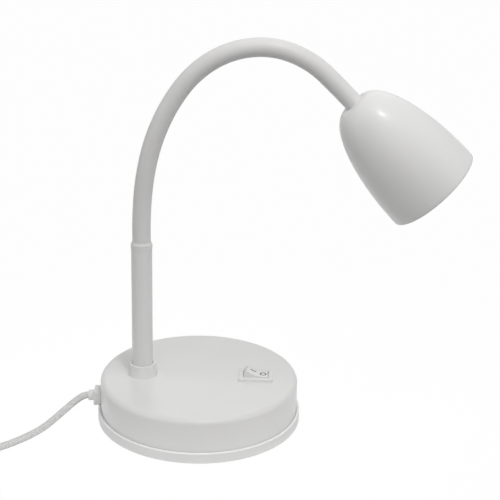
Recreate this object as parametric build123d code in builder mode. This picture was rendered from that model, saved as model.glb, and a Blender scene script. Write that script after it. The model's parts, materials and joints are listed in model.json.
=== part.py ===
from build123d import *

import os
from math import atan, cos, degrees, pi, radians, sin, sqrt, tan

# Table lamp on a round weighted foot, with a rigid stem, a gooseneck and a bell shade.
# Millimetres. The origin is on the table under the middle of the foot.
# +Z is up and +X points from the stem towards the shade.

# Foot: a tray, a cover that plugs into it, a ballast plate and a foam pad
RIM_R = 74.0
RIM_BOTTOM = 0.2
RIM_TOP = 7.4
RIM_BEAD = 1.9
RIM_TOP_ROUND = 0.5
RIM_BOTTOM_ROUND = 0.2
SEAT_Z = 6.7
COVER_R = 71.9
COVER_TOP = 32.4
COVER_WALL = 2.3
COVER_ROUND = 3.8
LIP_WALL = 1.6
LIP_TOP = 11.0
TRAY_FLOOR = 2.0
PAD_INSET = 9.0
PAD_HEIGHT = 1.6
BALLAST_INSET = 8.4
BALLAST_HEIGHT = 6.0
BALLAST_NOTCH = 22.0
FIT = 0.2
SLIDE = 0.1
RUNNING = 0.05

# Screws from below into four bosses under the cover
BOSS_R = 4.0
BOSS_SPREAD = 74.0
SCREW_R = 1.4
SCREW_HEAD_R = 2.7
SCREW_HEAD_HEIGHT = 1.3
SCREW_LENGTH = 13.0

# Mains cord, its gland and its clamp
CORD_R = 2.55
CORD_Z = 13.2
GLAND_WIDTH = 12.0
GLAND_BELOW = 6.4
GLAND_ABOVE = 5.2
GLAND_PROUD = 5.4
GLAND_CORNER = 2.2
GLAND_NECK_WIDTH = 7.8
GLAND_INNER_WALL = 1.8
GLAND_ROOT_R = 4.0
GLAND_TIP_R = 3.8
GLAND_NOSE = 4.2
CLAMP_INSET = 14.4
CLAMP_LENGTH = 8.0
CLAMP_WIDTH = 19.0
CLAMP_HEIGHT = 4.6
CLAMP_SCREW_Y = 6.4
CLAMP_SCREW_R = 1.25
CLAMP_HEAD_R = 2.4
CLAMP_HEAD_HEIGHT = 1.4
CLAMP_SCREW_REACH = 8.0

# Terminal block on the ballast
BLOCK_X = -5.0
BLOCK_LENGTH = 18.0
BLOCK_WIDTH = 20.0
BLOCK_HEIGHT = 9.0
BLOCK_SCREW_R = 1.6
BLOCK_SCREW_DEPTH = 4.0
BLOCK_SCREW_PITCH_X = 9.0
BLOCK_SCREW_PITCH_Y = 10.0
INNER_CORD_BEND = 4.0
WIRE_R = 0.9

# Rocker switch, near its photographed place on the cover
SWITCH_INSET = 30.4
BEZEL_LENGTH = 24.5
BEZEL_WIDTH = 18.2
BEZEL_HEIGHT = 2.0
BEZEL_CHAMFER = 0.7
HOUSING_LENGTH = 20.8
HOUSING_WIDTH = 13.0
HOUSING_BOTTOM = 20.5
ROCKER_R = 9.2
ROCKER_WIDTH = 11.2
ROCKER_PIVOT_RISE = 0.1
ROCKER_TIP_ANGLE = 28.0
ROCKER_MIDDLE = 3.5
ROCKER_UNDERSIDE = 3.0
ROCKER_TILT = 15.0
ROCKER_PIN_R = 1.3
ROCKER_PIN_REACH = 0.6
BLADE_PITCH = 10.0
BLADE_WIDTH = 4.8
BLADE_THICKNESS = 0.8
BLADE_LENGTH = 8.0

# Stem
STEM_INSET = 30.4
STEM_R = 7.5
STEM_WALL = 0.7
STEM_BOTTOM = 21.0
STEM_TOP = 133.5
STEM_BAND_PROUD = 0.2
STEM_BAND_HEIGHT = 2.5
COLLAR_BASE_R = 10.9
COLLAR_TOP_R = 9.4
COLLAR_HEIGHT = 9.0
COLLAR_LIP = 1.6
COLLAR_CUP = 0.8
COLLAR_ROUND = 0.5
WASHER_R = 12.0
WASHER_HEIGHT = 1.2
STEM_NUT_FLATS = 21.0
STEM_NUT_HEIGHT = 5.0
BUSH_BOTTOM = 100.0
BUSH_TOP = 116.0
BUSH_STEP = 4.0
STEM_CORD_R = 1.8

# Gooseneck: a sleeve over a steel core, in short rigid lengths with ball ends
SLEEVE_R = 6.55
FLARE_R = 7.6
FLARE_HEIGHT = 2.5
CORE_R = 4.0
CORE_BORE_R = 2.1
NECK_START = 142.5
SEGMENT_LENGTH = 27.9
SEGMENT_TURNS = (5, 8, 11, 12, 21, 25, 27, 24, 3)
JOINT_GAP = 0.3

# Shade and what it holds, placed along its own axis from the crown
SHADE_CROWN_R = 8.5
SHADE_MOUTH_R = 35.5
SHADE_DEPTH = 83.0
SHADE_WALL = 1.0
NIPPLE_R = 5.0
NIPPLE_BORE_R = 3.0
NIPPLE_IN_NECK = 9.0
HEAD_WASHER_R = 8.0
HEAD_WASHER_HEIGHT = 1.0
HEAD_NUT_FLATS = 14.0
HEAD_NUT_HEIGHT = 3.0
STRAP_THICKNESS = 1.2
STRAP_WIDTH = 8.0
STRAP_LEG = 17.0
HOLDER_GAP = 0.35
HOLDER_LENGTH = 26.6
HOLDER_WIDTH = 17.0
HOLDER_HEIGHT = 13.8
HOLDER_ROUND = 2.0
HOLDER_SCREW_R = 1.25
HOLDER_SCREW_HEAD_R = 2.4
HOLDER_SCREW_HEAD = 1.2
HOLDER_SCREW_REACH = 5.0
HOLDER_SCREW_DEPTH = 6.4
BULB_R = 25.0
BULB_NECK_R = 9.0
BULB_NECK = 8.0
BULB_RIM = 5.0
BULB_LENGTH = 50.0
BULB_FLARE_BULGE = 3.0
LENS_R = 23.0
LENS_THICKNESS = 2.0
BULB_PIN_PITCH = 10.0
BULB_PIN_R = 1.4
BULB_PIN_HEAD_R = 2.4
BULB_PIN_HEAD = 2.5
BULB_PIN_LENGTH = 7.0

# Two-pin plug on its side on the table
PLUG_WIDTH = 35.0
PLUG_THICKNESS = 13.7
PLUG_LENGTH = 32.0
PLUG_BACK_WIDTH = 15.0
PLUG_BACK_THICKNESS = 10.0
PLUG_NOSE = 22.0
PLUG_NOSE_R = 4.2
PLUG_NOSE_TIP_R = 3.1
PLUG_PIN_PITCH = 18.6
PLUG_PIN_R = 2.0
PLUG_PIN_LENGTH = 19.0
PLUG_SLEEVE_LENGTH = 10.0
PLUG_SLEEVE_R = 1.9
PLUG_SLEEVE_WALL = 0.3

# Coil of the put-away cord: four layers that spiral in and out about COIL_CENTRE
COIL_CENTRE = (-181.3, -51.5)
COIL_OUTER_R = 35.0
COIL_PITCH = 5.65
COIL_LAYER_QUARTERS = 10
COIL_QUARTERS = 37
COIL_LAST_STEP = 0.36
COIL_START_ANGLE = -58.0
FLOOR_GAP = 0.05

os.makedirs("parts", exist_ok=True)


def save(part, name):
    part.label = name
    export_step(part, f"parts/{name}.step")


def lathe_plane(axis_plane):
    """The plane in which a turned piece's outline is drawn, radius across and length up."""
    return Plane(origin=axis_plane.origin, x_dir=axis_plane.x_dir, z_dir=-axis_plane.y_dir)


def bend_radii(points):
    """As large an arc at each corner of a route as its two runs allow."""
    radii = []
    for before, corner, after in zip(points, points[1:], points[2:]):
        into, out = Vector(corner) - Vector(before), Vector(after) - Vector(corner)
        half_turn = radians(into.get_angle(out)) / 2
        radii.append(0.45 * min(into.length, out.length) / tan(half_turn))
    return radii


def round_tube(points, radius):
    """A tube of one radius along straight runs joined by tangent arcs."""
    with BuildPart() as tube:
        with BuildLine() as route:
            FilletPolyline(*points, radius=bend_radii(points))
        with BuildSketch(Plane(origin=route.line @ 0, z_dir=route.line % 0)):
            Circle(radius)
        sweep()
    return tube.part


# Foot

tray_floor_top = PAD_HEIGHT + TRAY_FLOOR
cover_inner_r = COVER_R - COVER_WALL
pad_r = RIM_R - PAD_INSET
ballast_r = COVER_R - BALLAST_INSET
clamp_x = CLAMP_INSET - COVER_R
stem_x = STEM_INSET - COVER_R
switch_x = COVER_R - SWITCH_INSET
cover_inner_top = COVER_TOP - COVER_WALL
lip_r = cover_inner_r - FIT
lip_inner_r = lip_r - LIP_WALL
gland_bottom = CORD_Z - GLAND_BELOW
gland_top = CORD_Z + GLAND_ABOVE
gland_face_x = -(COVER_R + GLAND_PROUD)
gland_tip_x = gland_face_x - GLAND_NOSE
gland_inner_x = -(cover_inner_r - 2 * FIT)
gland_end_x = clamp_x - CLAMP_LENGTH / 2
ballast_top = tray_floor_top + BALLAST_HEIGHT
screw_bottom = PAD_HEIGHT

with BuildPart() as base_tray:
    with BuildSketch(Plane.XZ):
        with BuildLine():
            Polyline(
                (0, PAD_HEIGHT),
                (pad_r + FIT, PAD_HEIGHT),
                (pad_r + FIT, RIM_BOTTOM),
                (RIM_R, RIM_BOTTOM),
                (RIM_R, RIM_TOP),
                (RIM_R - RIM_BEAD, RIM_TOP),
                (RIM_R - RIM_BEAD, SEAT_Z),
                (lip_r, SEAT_Z),
                (lip_r, LIP_TOP),
                (lip_inner_r, LIP_TOP),
                (lip_inner_r, tray_floor_top),
                (0, tray_floor_top),
                close=True,
            )
        make_face()
    revolve(axis=Axis.Z)
    rim_edges = base_tray.edges().filter_by(GeomType.CIRCLE).group_by(SortBy.RADIUS)[-1]
    fillet(rim_edges.sort_by(Axis.Z)[-1], RIM_TOP_ROUND)
    rim_edges = base_tray.edges().filter_by(GeomType.CIRCLE).group_by(SortBy.RADIUS)[-1]
    fillet(rim_edges.sort_by(Axis.Z)[0], RIM_BOTTOM_ROUND)
    # Notch for the gland in the rim and the lip
    notch_z = min(gland_bottom - FIT, SEAT_Z)
    with Locations((gland_inner_x + GLAND_INNER_WALL + FIT, 0, notch_z)):
        Box(
            RIM_R,
            GLAND_WIDTH + 2 * FIT,
            LIP_TOP,
            align=(Align.MAX, Align.CENTER, Align.MIN),
            mode=Mode.SUBTRACT,
        )
    # Cradle under the cord clamp
    with Locations((clamp_x, 0, tray_floor_top)):
        Box(
            CLAMP_LENGTH,
            CLAMP_WIDTH,
            CORD_Z - tray_floor_top,
            align=(Align.CENTER, Align.CENTER, Align.MIN),
        )
    with Locations((clamp_x, 0, CORD_Z)):
        Cylinder(CORD_R + RUNNING, CLAMP_LENGTH, rotation=(0, 90, 0), mode=Mode.SUBTRACT)
    with Locations((clamp_x, -CLAMP_SCREW_Y, CORD_Z), (clamp_x, CLAMP_SCREW_Y, CORD_Z)):
        Hole(CLAMP_SCREW_R + RUNNING, depth=CLAMP_SCREW_REACH - CLAMP_HEIGHT + FIT)
    # Countersunk holes for the four screws
    with GridLocations(BOSS_SPREAD, BOSS_SPREAD, 2, 2):
        with Locations((0, 0, screw_bottom)):
            Cone(
                SCREW_HEAD_R + SLIDE,
                SCREW_R + SLIDE,
                SCREW_HEAD_HEIGHT,
                align=(Align.CENTER, Align.CENTER, Align.MIN),
                mode=Mode.SUBTRACT,
            )
            Cylinder(SCREW_R + SLIDE, 2 * TRAY_FLOOR, mode=Mode.SUBTRACT)
save(base_tray.part, "base_tray")

with BuildPart() as foot_pad:
    Cylinder(pad_r, PAD_HEIGHT, align=(Align.CENTER, Align.CENTER, Align.MIN))
save(foot_pad.part, "foot_pad")

with BuildPart() as ballast_plate:
    with BuildSketch(Plane.XY.offset(tray_floor_top)):
        Circle(ballast_r)
        with GridLocations(BOSS_SPREAD, BOSS_SPREAD, 2, 2):
            Circle(BOSS_R + 2 * FIT, mode=Mode.SUBTRACT)
        # Notch that clears the gland, the clamp and its cord
        with Locations((-ballast_r, 0)):
            Rectangle(2 * BALLAST_NOTCH, CLAMP_WIDTH + 2 * FIT, mode=Mode.SUBTRACT)
    extrude(amount=BALLAST_HEIGHT)
save(ballast_plate.part, "ballast_plate")

with BuildPart() as base_cover:
    with BuildSketch(Plane.XZ):
        with BuildLine():
            Polyline((0, cover_inner_top), (0, COVER_TOP), (COVER_R - COVER_ROUND, COVER_TOP))
            JernArc((COVER_R - COVER_ROUND, COVER_TOP), (1, 0), COVER_ROUND, -90)
            Polyline(
                (COVER_R, COVER_TOP - COVER_ROUND),
                (COVER_R, SEAT_Z),
                (cover_inner_r, SEAT_Z),
                (cover_inner_r, COVER_TOP - COVER_ROUND),
            )
            JernArc((cover_inner_r, COVER_TOP - COVER_ROUND), (0, 1), COVER_ROUND - COVER_WALL, 90)
            Line((COVER_R - COVER_ROUND, cover_inner_top), (0, cover_inner_top))
        make_face()
    revolve(axis=Axis.Z)
    # Screw bosses that stand on the tray
    with BuildSketch(Plane.XY.offset(tray_floor_top)):
        with GridLocations(BOSS_SPREAD, BOSS_SPREAD, 2, 2):
            Circle(BOSS_R)
    extrude(amount=cover_inner_top - tray_floor_top)
    with BuildSketch(Plane.XY.offset(tray_floor_top)):
        with GridLocations(BOSS_SPREAD, BOSS_SPREAD, 2, 2):
            Circle(SCREW_R + RUNNING)
    extrude(amount=SCREW_LENGTH, mode=Mode.SUBTRACT)
    # Holes for the stem and the switch
    with BuildSketch(Plane.XY.offset(COVER_TOP)):
        with Locations((stem_x, 0)):
            Circle(STEM_R + SLIDE)
        with Locations((switch_x, 0)):
            Rectangle(HOUSING_LENGTH + 2 * FIT, HOUSING_WIDTH + 2 * FIT)
    extrude(amount=-2 * COVER_WALL, mode=Mode.SUBTRACT)
    # Slot for the gland, open at the bottom edge
    with Locations((-COVER_R, 0, SEAT_Z)):
        Box(
            4 * COVER_WALL,
            GLAND_NECK_WIDTH + FIT,
            2 * (gland_top - GLAND_INNER_WALL - SEAT_Z),
            mode=Mode.SUBTRACT,
        )
save(base_cover.part, "base_cover")

with BuildPart() as base_screws:
    with GridLocations(BOSS_SPREAD, BOSS_SPREAD, 2, 2):
        with Locations((0, 0, screw_bottom)):
            Cone(
                SCREW_HEAD_R,
                SCREW_R,
                SCREW_HEAD_HEIGHT,
                align=(Align.CENTER, Align.CENTER, Align.MIN),
            )
        with Locations((0, 0, screw_bottom + SCREW_HEAD_HEIGHT)):
            Cylinder(SCREW_R, SCREW_LENGTH, align=(Align.CENTER, Align.CENTER, Align.MIN))
save(base_screws.part, "base_screws")

# Cord entry

with BuildPart() as cord_gland:
    # Outer flange with its lower corners cut
    with BuildSketch(Plane.YZ.offset(gland_face_x)):
        with BuildLine():
            Polyline(
                (-GLAND_WIDTH / 2, gland_bottom + GLAND_CORNER),
                (-GLAND_WIDTH / 2 + GLAND_CORNER, gland_bottom),
                (GLAND_WIDTH / 2 - GLAND_CORNER, gland_bottom),
                (GLAND_WIDTH / 2, gland_bottom + GLAND_CORNER),
                (GLAND_WIDTH / 2, gland_top),
                (-GLAND_WIDTH / 2, gland_top),
                close=True,
            )
        make_face()
    extrude(amount=GLAND_PROUD)
    # Neck through the wall of the cover
    with Locations((-COVER_R, 0, SEAT_Z + SLIDE)):
        Box(
            COVER_R + gland_inner_x,
            GLAND_NECK_WIDTH,
            gland_top - GLAND_INNER_WALL - SEAT_Z - 2 * SLIDE,
            align=(Align.MIN, Align.CENTER, Align.MIN),
        )
    # Inner flange
    with Locations((gland_inner_x, 0, SEAT_Z + SLIDE)):
        Box(
            GLAND_INNER_WALL,
            GLAND_WIDTH - 2 * FIT,
            gland_top - SEAT_Z - SLIDE,
            align=(Align.MIN, Align.CENTER, Align.MIN),
        )
    with BuildSketch(Plane.YZ.offset(gland_inner_x)):
        with Locations((0, CORD_Z)):
            Circle(GLAND_ROOT_R)
    extrude(amount=gland_end_x - gland_inner_x)
    # Tapered nose outside
    with BuildSketch(Plane.YZ.offset(gland_face_x)):
        with Locations((0, CORD_Z)):
            Circle(GLAND_ROOT_R)
    with BuildSketch(Plane.YZ.offset(gland_tip_x)):
        with Locations((0, CORD_Z)):
            Circle(GLAND_TIP_R)
    loft()
save(cord_gland.part, "cord_gland")

with BuildPart() as cord_clamp:
    with Locations((clamp_x, 0, CORD_Z)):
        Box(
            CLAMP_LENGTH,
            CLAMP_WIDTH,
            CLAMP_HEIGHT,
            align=(Align.CENTER, Align.CENTER, Align.MIN),
        )
        Cylinder(CORD_R + RUNNING, CLAMP_LENGTH, rotation=(0, 90, 0), mode=Mode.SUBTRACT)
    with Locations((clamp_x, -CLAMP_SCREW_Y, CORD_Z), (clamp_x, CLAMP_SCREW_Y, CORD_Z)):
        Cylinder(CLAMP_SCREW_R + RUNNING, 3 * CLAMP_HEIGHT, mode=Mode.SUBTRACT)
save(cord_clamp.part, "cord_clamp")

with BuildPart() as clamp_screws:
    clamp_top = CORD_Z + CLAMP_HEIGHT
    with Locations((clamp_x, -CLAMP_SCREW_Y, clamp_top), (clamp_x, CLAMP_SCREW_Y, clamp_top)):
        Cylinder(CLAMP_HEAD_R, CLAMP_HEAD_HEIGHT, align=(Align.CENTER, Align.CENTER, Align.MIN))
        Cylinder(
            CLAMP_SCREW_R, CLAMP_SCREW_REACH, align=(Align.CENTER, Align.CENTER, Align.MAX)
        )
save(clamp_screws.part, "clamp_screws")

block_left = BLOCK_X - BLOCK_LENGTH / 2
block_right = BLOCK_X + BLOCK_LENGTH / 2
block_wire_z = ballast_top + BLOCK_HEIGHT / 2
notch_end_x = BALLAST_NOTCH - ballast_r
inner_cord_route = [
    (gland_end_x, 0, CORD_Z),
    (clamp_x + CLAMP_LENGTH / 2 + INNER_CORD_BEND, 0, CORD_Z),
    (notch_end_x + INNER_CORD_BEND, 0, block_wire_z),
    (block_left, 0, block_wire_z),
]
save(round_tube(inner_cord_route, CORD_R), "inner_cord")

with BuildPart() as terminal_block:
    with Locations((BLOCK_X, 0, ballast_top)):
        Box(
            BLOCK_LENGTH,
            BLOCK_WIDTH,
            BLOCK_HEIGHT,
            align=(Align.CENTER, Align.CENTER, Align.MIN),
        )
    with Locations((BLOCK_X, 0, ballast_top + BLOCK_HEIGHT)):
        with GridLocations(BLOCK_SCREW_PITCH_X, BLOCK_SCREW_PITCH_Y, 2, 2):
            Hole(BLOCK_SCREW_R + RUNNING, depth=BLOCK_SCREW_DEPTH)
save(terminal_block.part, "terminal_block")

with BuildPart() as terminal_screws:
    with Locations((BLOCK_X, 0, ballast_top + BLOCK_HEIGHT - BLOCK_SCREW_DEPTH)):
        with GridLocations(BLOCK_SCREW_PITCH_X, BLOCK_SCREW_PITCH_Y, 2, 2):
            Cylinder(
                BLOCK_SCREW_R,
                BLOCK_SCREW_DEPTH / 2,
                align=(Align.CENTER, Align.CENTER, Align.MIN),
            )
save(terminal_screws.part, "terminal_screws")

# Switch

pivot_z = COVER_TOP + ROCKER_PIVOT_RISE
opening_width = ROCKER_WIDTH + 2 * FIT

with BuildPart() as switch_housing:
    with BuildSketch(Plane.XY.offset(COVER_TOP)):
        with Locations((switch_x, 0)):
            Rectangle(BEZEL_LENGTH, BEZEL_WIDTH)
    extrude(amount=BEZEL_HEIGHT)
    chamfer(switch_housing.edges().group_by(Axis.Z)[-1], BEZEL_CHAMFER)
    with BuildSketch(Plane.XY.offset(HOUSING_BOTTOM)):
        with Locations((switch_x, 0)):
            Rectangle(HOUSING_LENGTH, HOUSING_WIDTH)
    extrude(amount=COVER_TOP - HOUSING_BOTTOM)
    # Round pocket that the rocker turns in, and the holes for its pins
    with Locations((switch_x, 0, pivot_z)):
        Cylinder(ROCKER_R + FIT, opening_width, rotation=(90, 0, 0), mode=Mode.SUBTRACT)
        Cylinder(
            ROCKER_PIN_R + RUNNING,
            opening_width + 2 * ROCKER_PIN_REACH,
            rotation=(90, 0, 0),
            mode=Mode.SUBTRACT,
        )
save(switch_housing.part, "switch_housing")


def on_rocker(radius, angle):
    """A point of the rocker's outline, turned by its resting tilt about the pivot."""
    turned = radians(angle - ROCKER_TILT)
    return (radius * cos(turned), radius * sin(turned))


tip, heel = ROCKER_TIP_ANGLE, degrees(atan(ROCKER_UNDERSIDE / ROCKER_R))
with BuildPart() as switch_rocker:
    with BuildSketch(Plane(origin=(switch_x, 0, pivot_z), x_dir=(1, 0, 0), z_dir=(0, -1, 0))):
        with BuildLine():
            Polyline(
                on_rocker(ROCKER_R, 180 - tip),
                on_rocker(ROCKER_MIDDLE, 90),
                on_rocker(ROCKER_R, tip),
            )
            ThreePointArc(
                on_rocker(ROCKER_R, tip), on_rocker(ROCKER_R, 0), on_rocker(ROCKER_R, -heel)
            )
            Line(on_rocker(ROCKER_R, -heel), on_rocker(ROCKER_R, 180 + heel))
            ThreePointArc(
                on_rocker(ROCKER_R, 180 + heel),
                on_rocker(ROCKER_R, 180),
                on_rocker(ROCKER_R, 180 - tip),
            )
        make_face()
    extrude(amount=ROCKER_WIDTH / 2, both=True)
    with Locations((switch_x, 0, pivot_z)):
        Cylinder(ROCKER_PIN_R, ROCKER_WIDTH + 2 * ROCKER_PIN_REACH, rotation=(90, 0, 0))
save(switch_rocker.part, "switch_rocker")

blade_x = [switch_x - BLADE_PITCH / 2, switch_x + BLADE_PITCH / 2]
blade_middle_z = HOUSING_BOTTOM - BLADE_LENGTH / 2
with BuildPart() as switch_blades:
    with Locations(*[(x, 0, blade_middle_z) for x in blade_x]):
        Box(BLADE_THICKNESS, BLADE_WIDTH, BLADE_LENGTH)
save(switch_blades.part, "switch_blades")

near_blade = (blade_x[0] - BLADE_THICKNESS / 2, BLADE_WIDTH / 4, block_wire_z)
far_blade = (blade_x[1] - BLADE_THICKNESS / 2, 0, block_wire_z)
past_blade_y = -(BLADE_WIDTH / 2 + 4 * WIRE_R)
near_lead_route = [
    (block_right, BLOCK_SCREW_PITCH_Y / 2, block_wire_z),
    ((block_right + blade_x[0]) / 2, BLOCK_SCREW_PITCH_Y / 2, block_wire_z),
    (blade_x[0] - BLADE_PITCH, BLADE_WIDTH / 4, block_wire_z),
    near_blade,
]
far_lead_route = [
    (block_right, -BLOCK_SCREW_PITCH_Y / 2, block_wire_z),
    (block_right + BLADE_PITCH, -BLOCK_SCREW_PITCH_Y / 2, block_wire_z),
    (blade_x[0] - BLADE_PITCH, past_blade_y, block_wire_z),
    (blade_x[0] + 2 * WIRE_R, past_blade_y, block_wire_z),
    (blade_x[1] - 4 * WIRE_R, 0, block_wire_z),
    far_blade,
]
switch_leads = Compound(
    children=[round_tube(near_lead_route, WIRE_R), round_tube(far_lead_route, WIRE_R)]
)
save(switch_leads, "switch_leads")

# Stem

with BuildPart() as neck_collar:
    cup_z = COVER_TOP + COLLAR_HEIGHT - COLLAR_CUP
    with BuildSketch(Plane.XZ):
        with BuildLine():
            Polyline(
                (stem_x + STEM_R + SLIDE, COVER_TOP),
                (stem_x + COLLAR_BASE_R, COVER_TOP),
                (stem_x + COLLAR_TOP_R, COVER_TOP + COLLAR_HEIGHT),
                (stem_x + COLLAR_TOP_R - COLLAR_LIP, COVER_TOP + COLLAR_HEIGHT),
                (stem_x + COLLAR_TOP_R - COLLAR_LIP, cup_z),
                (stem_x + STEM_R + SLIDE, cup_z),
                close=True,
            )
        make_face()
    revolve(axis=Axis((stem_x, 0, 0), (0, 0, 1)))
    fillet(neck_collar.edges().group_by(Axis.Z)[-1], COLLAR_ROUND)
save(neck_collar.part, "neck_collar")

with BuildPart() as neck_washer:
    with BuildSketch(Plane.XY.offset(cover_inner_top)):
        with Locations((stem_x, 0)):
            Circle(WASHER_R)
            Circle(STEM_R + SLIDE, mode=Mode.SUBTRACT)
    extrude(amount=-WASHER_HEIGHT)
save(neck_washer.part, "neck_washer")

with BuildPart() as neck_nut:
    with BuildSketch(Plane.XY.offset(cover_inner_top - WASHER_HEIGHT)):
        with Locations((stem_x, 0)):
            RegularPolygon(STEM_NUT_FLATS / 2, 6, major_radius=False)
            Circle(STEM_R + RUNNING, mode=Mode.SUBTRACT)
    extrude(amount=-STEM_NUT_HEIGHT)
save(neck_nut.part, "neck_nut")

stem_bore_r = STEM_R - STEM_WALL
with BuildPart() as stem_tube:
    with BuildSketch(Plane.XY.offset(STEM_BOTTOM)):
        with Locations((stem_x, 0)):
            Circle(STEM_R)
            Circle(stem_bore_r, mode=Mode.SUBTRACT)
    extrude(amount=STEM_TOP - STEM_BOTTOM)
    # Rolled band at the top
    with BuildSketch(Plane.XY.offset(STEM_TOP)):
        with Locations((stem_x, 0)):
            Circle(STEM_R + STEM_BAND_PROUD)
            Circle(stem_bore_r, mode=Mode.SUBTRACT)
    extrude(amount=-STEM_BAND_HEIGHT)
save(stem_tube.part, "stem_tube")

with BuildPart() as stem_bush:
    with BuildSketch(Plane.XY.offset(BUSH_BOTTOM)):
        with Locations((stem_x, 0)):
            Circle(stem_bore_r - RUNNING)
            Circle(CORE_R + RUNNING, mode=Mode.SUBTRACT)
    extrude(amount=BUSH_TOP - BUSH_BOTTOM)
save(stem_bush.part, "stem_bush")

stem_cord_route = [
    (BLOCK_X, BLOCK_WIDTH / 2, block_wire_z),
    (BLOCK_X, BLOCK_WIDTH, block_wire_z),
    (stem_x + COLLAR_BASE_R, BLOCK_WIDTH, block_wire_z + CORD_R),
    (stem_x, STEM_R + SLEEVE_R, STEM_BOTTOM - STEM_CORD_R - SLIDE),
    (stem_x, 0, STEM_BOTTOM - STEM_CORD_R),
    (stem_x, 0, NECK_START - JOINT_GAP),
]
save(round_tube(stem_cord_route, STEM_CORD_R), "stem_cord")

# Gooseneck


def after_arc(start, heading, length, turn):
    """The end of an arc in the plane of the neck, with headings in degrees from straight up."""
    chord = length * sin(radians(turn / 2)) / radians(turn / 2)
    middle = radians(heading + turn / 2)
    return start + Vector(sin(middle), 0, cos(middle)) * chord


def along(heading):
    """The direction of a heading in the plane of the neck."""
    return Vector(sin(radians(heading)), 0, cos(radians(heading)))


nodes, headings = [Vector(stem_x, 0, NECK_START)], [0]
for turn in SEGMENT_TURNS:
    nodes.append(after_arc(nodes[-1], headings[-1], SEGMENT_LENGTH, turn))
    headings.append(headings[-1] + turn)
crown, head_axis = nodes[-1], along(headings[-1])
sleeve_bore_r = CORE_R + SLIDE


def bent_rod(start, heading, end, radius, bore):
    """A bored round length of the neck from start to end."""
    with BuildPart() as length:
        with BuildLine():
            TangentArc(start, end, tangent=along(heading))
        with BuildSketch(Plane(origin=start, z_dir=along(heading))):
            Circle(radius)
            Circle(bore, mode=Mode.SUBTRACT)
        sweep()
    return length.part


def ball_end():
    """The bored half ball on the far end of a length of sleeve."""
    Sphere(SLEEVE_R, arc_size1=0, align=(Align.CENTER, Align.CENTER, Align.MIN))
    Cylinder(CORE_BORE_R, 3 * SLEEVE_R, mode=Mode.SUBTRACT)


with BuildPart() as neck_sleeve_01:
    with BuildSketch(Plane.XY.offset(BUSH_TOP)):
        with Locations((stem_x, 0)):
            Circle(SLEEVE_R)
            Circle(sleeve_bore_r, mode=Mode.SUBTRACT)
    extrude(amount=NECK_START - BUSH_TOP)
    # Flare that closes the top of the stem
    with BuildSketch(Plane.XY.offset(STEM_TOP + RUNNING)):
        with Locations((stem_x, 0)):
            Circle(FLARE_R)
    with BuildSketch(Plane.XY.offset(STEM_TOP + RUNNING + FLARE_HEIGHT)):
        with Locations((stem_x, 0)):
            Circle(SLEEVE_R)
    loft()
    with BuildSketch(Plane.XY.offset(BUSH_TOP)):
        with Locations((stem_x, 0)):
            Circle(sleeve_bore_r)
    extrude(amount=NECK_START - BUSH_TOP, mode=Mode.SUBTRACT)
    with Locations(Plane(origin=nodes[0], z_dir=along(0))):
        ball_end()
save(neck_sleeve_01.part, "neck_sleeve_01")

with BuildPart() as neck_core_01:
    with BuildSketch(Plane.XY.offset(BUSH_BOTTOM + BUSH_STEP)):
        with Locations((stem_x, 0)):
            Circle(CORE_R)
            Circle(CORE_BORE_R, mode=Mode.SUBTRACT)
    extrude(amount=NECK_START - BUSH_BOTTOM - BUSH_STEP)
save(neck_core_01.part, "neck_core_01")

for number, (start, heading, turn) in enumerate(zip(nodes, headings, SEGMENT_TURNS), 2):
    last = number == len(SEGMENT_TURNS) + 1
    end, end_heading = nodes[number - 1], headings[number - 1]
    core_length = SEGMENT_LENGTH - NIPPLE_IN_NECK - FIT if last else SEGMENT_LENGTH
    core_end = after_arc(start, heading, core_length, turn * core_length / SEGMENT_LENGTH)
    with BuildPart() as neck_sleeve:
        add(bent_rod(start, heading, end, SLEEVE_R, sleeve_bore_r))
        if last:
            with Locations(Plane(origin=end, z_dir=-head_axis)):
                Cylinder(
                    NIPPLE_R + SLIDE,
                    NIPPLE_IN_NECK + SLIDE,
                    align=(Align.CENTER, Align.CENTER, Align.MIN),
                    mode=Mode.SUBTRACT,
                )
        else:
            with Locations(Plane(origin=end, z_dir=along(end_heading))):
                ball_end()
        with Locations(start):
            Sphere(SLEEVE_R + JOINT_GAP, mode=Mode.SUBTRACT)
    save(neck_sleeve.part, f"neck_sleeve_{number:02d}")
    with BuildPart() as neck_core:
        add(bent_rod(start, heading, core_end, CORE_R, CORE_BORE_R))
        with Locations(start):
            Sphere(SLEEVE_R + JOINT_GAP, mode=Mode.SUBTRACT)
    save(neck_core.part, f"neck_core_{number:02d}")

# Shade and lampholder


def head_plane(depth):
    """The plane across the shade's axis at a depth below its crown."""
    return Plane(origin=crown + head_axis * depth, x_dir=(0, 1, 0), z_dir=head_axis)


def flank_plane(side, reach):
    """A plane on one side of the holder that faces away from the shade's axis."""
    across = head_plane(holder_screw_depth)
    return Plane(
        origin=across.origin + across.x_dir * (side * reach),
        x_dir=head_axis,
        z_dir=across.x_dir * side,
    )


strap_top = SHADE_WALL + HEAD_WASHER_HEIGHT + HEAD_NUT_HEIGHT + RUNNING
second_nut_top = strap_top + STRAP_THICKNESS
nipple_end = second_nut_top + HEAD_NUT_HEIGHT
holder_top = nipple_end + HOLDER_GAP
holder_screw_depth = holder_top + HOLDER_SCREW_DEPTH
bulb_top = holder_top + HOLDER_HEIGHT
strap_half = HOLDER_LENGTH / 2 + STRAP_THICKNESS

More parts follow.
